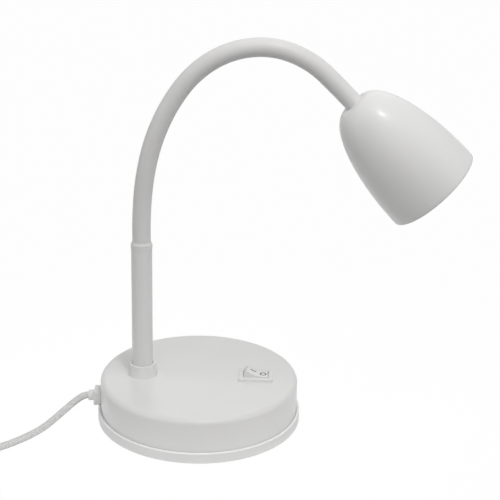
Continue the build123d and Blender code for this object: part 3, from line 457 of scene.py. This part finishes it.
def grey(value, warm=0.0):
    """A grey, a little warmer or cooler."""
    return (value + warm, value, value - warm)


FINISHES = {
    "white_paint": dict(
        light=grey(0.78, 0.004), dark=grey(0.755, 0.006), smooth=0.34, rough=0.42, bump=0.05,
        grain_scale=1100, wave=1.5, wave_scale=120, coat=0.3, coat_roughness=0.2,
        specular=0.25,
    ),
    "neck_skin": dict(
        light=grey(0.74, 0.004), dark=grey(0.70, 0.008), smooth=0.42, rough=0.52, bump=0.08,
        grain_scale=1600, wave=0.8, wave_scale=90, sheen=0.05,
    ),
    "white_plastic": dict(
        light=grey(0.78, 0.003), dark=grey(0.75, 0.006), smooth=0.36, rough=0.46, bump=0.06,
        grain_scale=1500,
    ),
    "switch_plastic": dict(
        light=grey(0.78, 0.002), dark=grey(0.76, 0.004), smooth=0.25, rough=0.34, bump=0.03,
        grain_scale=1800,
    ),
    "cord_skin": dict(
        light=grey(0.68, 0.004), dark=grey(0.66, 0.006), smooth=0.46, rough=0.55, bump=0.012,
        grain_scale=1500, drift_scale=30,
    ),
    "pad_foam": dict(
        light=grey(0.05), dark=grey(0.025), smooth=0.8, rough=0.95, bump=0.7, relief="cells",
        fleck=0.6, sheen=0.2,
    ),
    "weight_steel": dict(
        light=grey(0.2), dark=grey(0.12, 0.01), smooth=0.5, rough=0.75, bump=0.4,
        grain_scale=700, metallic=0.8, worn=1.6,
    ),
    "zinc_steel": dict(
        light=grey(0.62, -0.01), dark=grey(0.5, -0.01), smooth=0.25, rough=0.4, bump=0.12,
        relief="tool_lines", grain_scale=60, metallic=1, worn=1.3,
    ),
    "core_steel": dict(
        light=grey(0.42), dark=grey(0.3, 0.01), smooth=0.3, rough=0.5, bump=0.15,
        relief="tool_lines", grain_scale=60, metallic=1, worn=1.3,
    ),
    "wire_skin": dict(
        light=(0.3, 0.15, 0.08), dark=(0.24, 0.12, 0.07), smooth=0.35, rough=0.5, bump=0.05,
    ),
    "terminal_plastic": dict(
        light=grey(0.7, 0.01), dark=grey(0.62, 0.02), smooth=0.4, rough=0.55, bump=0.06,
    ),
    "brass_pins": dict(
        light=(0.76, 0.58, 0.26), dark=(0.62, 0.44, 0.18), smooth=0.2, rough=0.35, bump=0.04,
        metallic=1,
    ),
    "ceramic": dict(
        light=(0.8, 0.78, 0.73), dark=(0.76, 0.73, 0.67), smooth=0.2, rough=0.5, bump=0.1,
        grain_scale=1200,
    ),
    "bulb_shell": dict(
        light=grey(0.82, 0.003), dark=grey(0.78, 0.006), smooth=0.2, rough=0.3, bump=0.02,
    ),
    "bulb_glass": dict(
        light=(0.84, 0.85, 0.84), dark=(0.76, 0.77, 0.76), smooth=0.18, rough=0.3, bump=0.5,
        bump_distance=0.0008, relief="cells", grain_scale=380, fleck=0.4, coat=0.6,
        coat_roughness=0.05,
    ),
    "pin_sleeve": dict(light=grey(0.06), dark=grey(0.04), smooth=0.35, rough=0.5, bump=0.08),
    "nickel_pins": dict(
        light=(0.72, 0.7, 0.66), dark=(0.6, 0.58, 0.54), smooth=0.12, rough=0.25, bump=0.02,
        metallic=1,
    ),
    # Lighter than white_plastic: a painted highlight along the bead's rounded top
    "bead_painted_highlight": dict(
        light=grey(0.9, 0.003), dark=grey(0.87, 0.005), smooth=0.3, rough=0.4, bump=0.04,
        grain_scale=1500,
    ),
    "mark_ink": dict(light=grey(0.035), dark=grey(0.02), smooth=0.4, rough=0.5, bump=0.04),
}
MATERIALS = {name: finish_material(name, **finish) for name, finish in FINISHES.items()}

NODE_FINISH = {
    "white_paint": ["base_cover", "stem_tube", "shade"],
    "white_plastic": ["base_tray", "neck_collar", "cord_gland", "cord_clamp", "plug_body"],
    "switch_plastic": ["switch_housing", "switch_rocker"],
    "pad_foam": ["foot_pad"],
    "weight_steel": ["ballast_plate"],
    "zinc_steel": [
        "stem_bush", "base_screws", "clamp_screws", "neck_washer", "neck_nut", "head_washer",
        "head_nuts", "holder_bracket", "holder_screws", "head_nipple",
    ],
    "wire_skin": ["switch_leads", "lamp_leads"],
    "terminal_plastic": ["terminal_block"],
    "brass_pins": ["terminal_screws", "switch_blades"],
    "ceramic": ["lampholder"],
    "cord_skin": ["inner_cord", "stem_cord"],
    "bulb_shell": ["bulb_body"],
    "bulb_glass": ["bulb_lens"],
    "nickel_pins": ["bulb_pins", "plug_pins"],
    "pin_sleeve": ["plug_pin_sleeves"],
    "core_steel": [name for name in nodes if name.startswith("neck_core")],
}


def dress_nodes():
    """Gives each piece of the frame that NODE_FINISH lists its material."""
    for slot, names in NODE_FINISH.items():
        for name in names:
            node = nodes[name]
            node.data.materials.clear()
            node.data.materials.append(MATERIALS[slot])


dress_nodes()


# Neck: one skin over each joint, which bends from one body to the next


NECK_NAMES = [name for name in joints if name.startswith("neck")]
NECK_NODES = [Vector(joints[name]["pos_m"]) for name in NECK_NAMES]


def neck_arcs():
    """Start, heading and turn of the neck's arc after each joint, as the frame's joints lie."""
    arcs, heading = [], 0.0
    for start, end in zip(NECK_NODES, NECK_NODES[1:]):
        chord = end - start
        turn = 2 * (atan2(chord.x, chord.z) - heading)
        arcs.append((start, heading, turn))
        heading += turn
    arcs.append((NECK_NODES[-1], heading, LAST_TURN))
    return arcs


NECK_ARCS = neck_arcs()


def neck_point(along):
    """Point and heading of the neck's centreline; along counts joints, and under 0 is the stem."""
    if along <= 0:
        return NECK_NODES[0] + Vector((0, 0, along * SEGMENT)), 0.0
    index = min(int(along), len(NECK_ARCS) - 1)
    start, heading, turn = NECK_ARCS[index]
    part = turn * (along - index)
    middle = heading + part / 2
    reach = SEGMENT * (along - index) * (sin(part / 2) / (part / 2) if part else 1)
    return start + reach * Vector((sin(middle), 0, cos(middle))), heading + part


def neck_sections(begin, end):
    """Round sections along the neck from one place to another, in even steps."""
    count = max(2, round((end - begin) * SEGMENT / NECK_RING_STEP))
    sections = []
    for step in range(count + 1):
        place, heading = neck_point(begin + (end - begin) * step / count)
        turn = Matrix.Translation(place) @ Matrix.Rotation(heading, 4, "Y")
        sections.append((turn, NECK_R, NECK_R))
    return sections


def make_neck():
    """One skin for each joint, from the middle of one length to the middle of the next."""
    last = len(NECK_NODES) - 1
    for index, name in enumerate(NECK_NAMES):
        begin = index - 0.5 if index else -NECK_ROOT_DEPTH / SEGMENT
        end = index + 0.5 if index < last else index + 1
        skin = new_object(
            lambda shape: lofted(shape, neck_sections(begin, end), NECK_SIDES),
            f"neck_skin_{index + 1:02d}", None, MATERIALS["neck_skin"],
            smooth_angle=60,
        )
        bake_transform(skin)
        replaced = [f"neck_sleeve_{index + 1:02d}"]
        if index == last:
            replaced.append(f"neck_sleeve_{index + 2:02d}")
        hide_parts(*replaced)


make_neck()


def make_sleeve_flare():
    """The sleeve's widened foot, which closes the top of the stem."""
    top = Matrix.Translation((STEM_X, 0, STEM_TOP))
    new_object(
        lambda shape: turned(shape, SLEEVE_FLARE, top),
        "sleeve_flare", "foot", MATERIALS["neck_skin"],
    )


make_sleeve_flare()


# Foot's bead, bezel, rocker and its marks


def make_rim_bead():
    """The bead round the foot, over the seam, coloured lighter than the white plastic as a painted
    highlight.
    """
    new_object(
        lambda shape: turned(shape, RIM_BEAD, Matrix(), RIM_BEAD_SIDES),
        "rim_bead", "foot", MATERIALS["bead_painted_highlight"], smooth_angle=60,
    )


def framed(shape, sections, sides=64):
    """A closed frame through rings, of which the last joins the first."""
    rings = [ring(shape, sides, *section) for section in sections]
    for lower, upper in zip(rings, rings[1:] + rings[:1]):
        bmesh.ops.bridge_loops(shape, edges=lower + upper)
    bmesh.ops.recalc_face_normals(shape, faces=shape.faces)


def make_bezel():
    """The straight-sided frame round the rocker."""
    sections = [
        (
            Matrix.Translation(BEZEL_MIDDLE + Vector((0, 0, height * MM))),
            long * MM, wide * MM, BEZEL_SQUARENESS,
        )
        for long, wide, height in BEZEL_RINGS
    ]
    new_object(
        lambda shape: framed(shape, sections),
        "bezel_frame", "foot", MATERIALS["switch_plastic"],
    )


def rocker_solid(shape):
    """The rocker's outline drawn out across it, with its edges softened."""
    outline = ROCKER_OUTLINE + [(-along, up) for along, up in reversed(ROCKER_OUTLINE[1:])]
    verts = [
        bmesh.ops.create_vert(shape, co=(along * MM, -ROCKER_HALF_WIDTH, up * MM))["vert"][0]
        for along, up in outline
    ]
    face = bmesh.ops.contextual_create(shape, geom=verts)["faces"][0]
    drawn = bmesh.ops.extrude_face_region(shape, geom=[face])["geom"]
    moved = [item for item in drawn if isinstance(item, bmesh.types.BMVert)]
    bmesh.ops.translate(shape, verts=moved, vec=(0, 2 * ROCKER_HALF_WIDTH, 0))
    rims = [
        edge for edge in shape.edges
        if abs(edge.verts[0].co.y - edge.verts[1].co.y) < ROCKER_EDGE
    ]
    bmesh.ops.bevel(
        shape, geom=rims, offset=ROCKER_EDGE, segments=3, affect="EDGES", profile=0.5,
        material=-1, clamp_overlap=True,
    )
    bmesh.ops.recalc_face_normals(shape, faces=shape.faces)
    bmesh.ops.transform(shape, matrix=ROCKER_PLACE, verts=shape.verts)


def make_rocker():
    """The rocker, and the plain line and ring a hair proud of its two faces."""
    shell = new_object(
        rocker_solid,
        "rocker_shell", "rocker", MATERIALS["switch_plastic"], smooth_angle=30,
    )
    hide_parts("switch_rocker")
    bar_place = ROCKER_PLACE @ Matrix.Translation(MARK_ON) @ Matrix.Rotation(MARK_SLOPE, 4, "Y")
    bar = [
        (
            bar_place @ Matrix.Translation((0, 0, level * MARK_PROUD)),
            long * MM, wide * MM, MARK_BAR_SQUARENESS,
        )
        for long, wide, level in MARK_BAR
    ]
    new_object(
        lambda shape: lofted(shape, bar),
        "mark_on", "rocker", MATERIALS["mark_ink"],
    )
    ring_place = ROCKER_PLACE @ Matrix.Translation(MARK_OFF) @ Matrix.Rotation(-MARK_SLOPE, 4, "Y")
    new_object(
        lambda shape: turned(shape, MARK_RING, ring_place, height_unit=MARK_PROUD),
        "mark_off", "rocker", MATERIALS["mark_ink"],
    )


make_rim_bead()
make_bezel()
make_rocker()


# Shade


def ellipse_line(shrink):
    """The shade's quarter ellipse from crown to mouth, drawn in by a wall."""
    return [
        (
            CROWN_R + (MOUTH_R - CROWN_R - shrink) * sin(pi / 2 * step / SHADE_STEPS),
            SHADE_DEPTH - (SHADE_DEPTH - shrink) * cos(pi / 2 * step / SHADE_STEPS),
        )
        for step in range(SHADE_STEPS)
    ]


def make_shade():
    """The thin bell, hollow and round at its lip."""
    outside, inside = ellipse_line(0), ellipse_line(SHADE_WALL)
    inside.reverse()
    outline = [(CROWN_HOLE_R, 0), *outside, *SHADE_LIP, *inside, (CROWN_HOLE_R, SHADE_WALL)]
    crown, heading = neck_point(len(NECK_ARCS))
    place = Matrix.Translation(crown) @ Matrix.Rotation(heading, 4, "Y")
    shell = new_object(
        lambda shape: turned(shape, outline, place, SHADE_SIDES),
        "shade_shell", joints[NECK_NAMES[-1]]["child"], MATERIALS["white_paint"],
    )
    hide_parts("shade")


make_shade()


# Plug


def plug_sections():
    """Rings of the plug from its ribbed nose to its face."""
    across = Matrix.Translation(PLUG_START) @ Matrix.Rotation(-pi / 2, 4, "X")
    sections = []
    for rib in range(PLUG_NOSE_RIBS):
        reach = PLUG_NOSE_START + PLUG_RIB_PITCH * rib
        radius = PLUG_NOSE_R + PLUG_NOSE_TAPER * reach
        for step, narrow in PLUG_RIB:
            sections.append((reach + step, radius - narrow, radius - narrow, 2))
    return [
        (across @ Matrix.Translation((0, 0, reach * MM)), half * MM, thick * MM, squareness)
        for reach, half, thick, squareness in sections + PLUG_SHELL
    ]


def make_plug():
    """The moulded plug, ribbed where the cord goes in."""
    shell = new_object(
        lambda shape: lofted(shape, plug_sections(), PLUG_SIDES),
        "plug_shell", "foot", MATERIALS["white_plastic"],
    )
    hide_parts("plug_body")
    return shell


PLUG_SHELL_PIECE = make_plug()


# Mains cord: one spline from the gland to the plug


def coil_point(quarters):
    """Point of the coil's centreline after some quarter turns: a layer inwards, the next out."""
    layer, within = divmod(quarters, COIL_LAYER_QUARTERS)
    wound = COIL_LAYER_QUARTERS - within if layer % 2 else within
    radius = COIL_OUTER_R - COIL_PITCH * wound / 4
    angle = COIL_START_ANGLE - pi / 2 * quarters
    # The climb to the next layer takes a quarter turn on each side of the change
    climbed = max(0, within - COIL_LAYER_QUARTERS + 1) / 2
    to_climb = max(0, 1 - within) / 2 if layer else 0
    height = CORD_REST_Z + (layer + climbed - to_climb) * COIL_PITCH
    return COIL_CENTRE + Vector((radius * cos(angle), radius * sin(angle), height))


def cord_route():
    """The cord's points: the lead from the gland, the coil, and the tail to the plug."""
    last = COIL_QUARTERS + COIL_LAST_STEP
    steps = round(last * COIL_POINTS_PER_QUARTER)
    coil = [coil_point(last * step / steps) for step in range(steps + 1)]
    way_in = (coil_point(COIL_NUDGE) - coil[0]).normalized()
    way_out = (coil[-1] - coil_point(last - COIL_NUDGE)).normalized()
    coil_in = coil[0] - way_in * COIL_RUN
    coil_out = coil[-1] + way_out * COIL_RUN
    return [
        *(Vector(point) * MM for point in CORD_LEAD),
        coil_in - way_in * COIL_RUN_IN,
        coil_in,
        *coil,
        coil_out,
        coil_out + way_out * COIL_RUN_OUT,
        *(Vector(point) * MM for point in CORD_TAIL),
    ]


def make_cord():
    """The whole cord as one smooth round line."""
    route = cord_route()
    curve = bpy.data.curves.new("mains_cord", "CURVE")
    curve.dimensions = "3D"
    curve.bevel_depth = CORD_R
    curve.bevel_resolution = 5
    curve.resolution_u = 4
    curve.use_fill_caps = True
    line = curve.splines.new("NURBS")
    line.points.add(len(route) - 1)
    for point, place in zip(line.points, route):
        point.co = (*place, 1)
    line.order_u = 3
    line.use_endpoint_u = True
    line.use_smooth = True
    curve.materials.append(MATERIALS["cord_skin"])
    cord = bpy.data.objects.new("mains_cord", curve)
    bpy.context.scene.collection.objects.link(cord)
    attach(cord, "foot")
    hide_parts("cord_lead", "cord_coil", "cord_tail")


make_cord()


# Floor, light and camera


def make_floor():
    """A wide pale floor that shows white to the camera but keeps the lamp's faint shadow."""
    mesh = bpy.data.meshes.new("floor")
    shape = bmesh.new()
    bmesh.ops.create_grid(shape, x_segments=1, y_segments=1, size=FLOOR_HALF)
    shape.to_mesh(mesh)
    shape.free()
    floor = bpy.data.objects.new("floor", mesh)
    bpy.context.scene.collection.objects.link(floor)
    material = bpy.data.materials.new("floor_white")
    material.use_nodes = True
    kit = Nodes(material.node_tree)
    out = material.node_tree.nodes["Material Output"]
    shader = material.node_tree.nodes["Principled BSDF"]
    place = kit.add("ShaderNodeTexCoord")
    away = kit.add("ShaderNodeVectorMath", operation="LENGTH")
    tone = kit.add("ShaderNodeMapRange", interpolation_type="SMOOTHSTEP")
    set_inputs(tone, {
        "From Min": FLOOR_WHITE_R, "From Max": FLOOR_GREY_R,
        "To Min": FLOOR_WHITE, "To Max": FLOOR_GREY,
    })
    kit.link(place.outputs["Object"], away.inputs[0])
    kit.link(away.outputs["Value"], tone.inputs["Value"])
    kit.link(tone.outputs["Result"], shader.inputs["Base Color"])
    set_inputs(shader, {"Roughness": FLOOR_ROUGHNESS})
    glow = kit.add("ShaderNodeEmission", {"Strength": 1})
    path = kit.add("ShaderNodeLightPath")
    seen = kit.add("ShaderNodeMath", operation="MAXIMUM")
    share = kit.add("ShaderNodeMath", operation="MULTIPLY")
    set_inputs(share, {1: FLOOR_GLOW})
    mix = kit.add("ShaderNodeMixShader")
    kit.link(path.outputs["Is Camera Ray"], seen.inputs[0])
    kit.link(path.outputs["Is Glossy Ray"], seen.inputs[1])
    kit.link(seen.outputs["Value"], share.inputs[0])
    kit.link(share.outputs["Value"], mix.inputs["Fac"])
    kit.link(shader.outputs["BSDF"], mix.inputs[1])
    kit.link(glow.outputs["Emission"], mix.inputs[2])
    kit.link(mix.outputs["Shader"], out.inputs["Surface"])
    mesh.materials.append(material)


def make_world():
    """White to the camera and in reflections, and a soft sky for the light."""
    world = bpy.data.worlds.new("studio")
    bpy.context.scene.world = world
    world.use_nodes = True
    kit = Nodes(world.node_tree)
    out = world.node_tree.nodes["World Output"]
    sky = world.node_tree.nodes["Background"]
    set_inputs(sky, {"Color": (1, 1, 1, 1), "Strength": SKY_STRENGTH})
    white = kit.add("ShaderNodeBackground", {"Strength": 1})
    path = kit.add("ShaderNodeLightPath")
    first = kit.add("ShaderNodeMath", operation="MAXIMUM")
    second = kit.add("ShaderNodeMath", operation="MAXIMUM")
    mix = kit.add("ShaderNodeMixShader")
    kit.link(path.outputs["Is Camera Ray"], first.inputs[0])
    kit.link(path.outputs["Is Glossy Ray"], first.inputs[1])
    kit.link(first.outputs["Value"], second.inputs[0])
    kit.link(path.outputs["Is Transmission Ray"], second.inputs[1])
    kit.link(second.outputs["Value"], mix.inputs["Fac"])
    kit.link(sky.outputs["Background"], mix.inputs[1])
    kit.link(white.outputs["Background"], mix.inputs[2])
    kit.link(mix.outputs["Shader"], out.inputs["Surface"])


def area_light(name, place, aim, size, power, roll=0, mirrored=True):
    """A softbox that faces a point; one that isn't mirrored gives light but no highlight."""
    light = bpy.data.lights.new(name, "AREA")
    light.shape = "RECTANGLE"
    light.size, light.size_y = size
    light.energy = power
    box = bpy.data.objects.new(name, light)
    box.location = place
    box.visible_glossy = mirrored
    facing = (Vector(aim) - Vector(place)).to_track_quat("-Z", "Y")
    box.rotation_euler = (facing @ Quaternion((0, 0, 1), roll)).to_euler()
    bpy.context.scene.collection.objects.link(box)


def make_lights():
    """A softbox on its corner above the lamp, a small one for the glint, and four round it."""
    area_light(
        "key_box", (0.24, -0.52, 1.32), NECK_AIM, (1.2, 1.2), 7.3, ON_CORNER, mirrored=False,
    )
    area_light("glint_box", (0.222, -0.467, 1.2), NECK_AIM, (0.15, 0.15), 3.0, ON_CORNER)
    area_light("right_box", (1.3, -0.4, 0.55), LAMP_AIM, (1.0, 1.0), 1.9)
    area_light("left_box", (-1.3, -0.4, 0.55), LAMP_AIM, (1.0, 1.0), 3.0)
    area_light("front_box", (0.15, -1.5, 0.7), LAMP_AIM, (1.0, 0.8), 1.3)
    area_light("back_box", (0.2, 1.1, 1.0), LAMP_AIM, (1.0, 0.8), 1.7)


def make_camera():
    """The camera at the photograph's angle."""
    data = bpy.data.cameras.new("photo_camera")
    data.lens = CAMERA_LENS
    data.sensor_width = CAMERA_SENSOR
    data.clip_start = CAMERA_NEAR
    camera = bpy.data.objects.new("photo_camera", data)
    axes = Matrix((CAMERA_RIGHT, CAMERA_UP, -CAMERA_FORWARD)).transposed().to_4x4()
    camera.matrix_world = Matrix.Translation(CAMERA_PLACE) @ axes
    bpy.context.scene.collection.objects.link(camera)
    bpy.context.scene.camera = camera


make_floor()
make_world()
make_lights()
make_camera()
bpy.context.scene.view_settings.view_transform = "Standard"
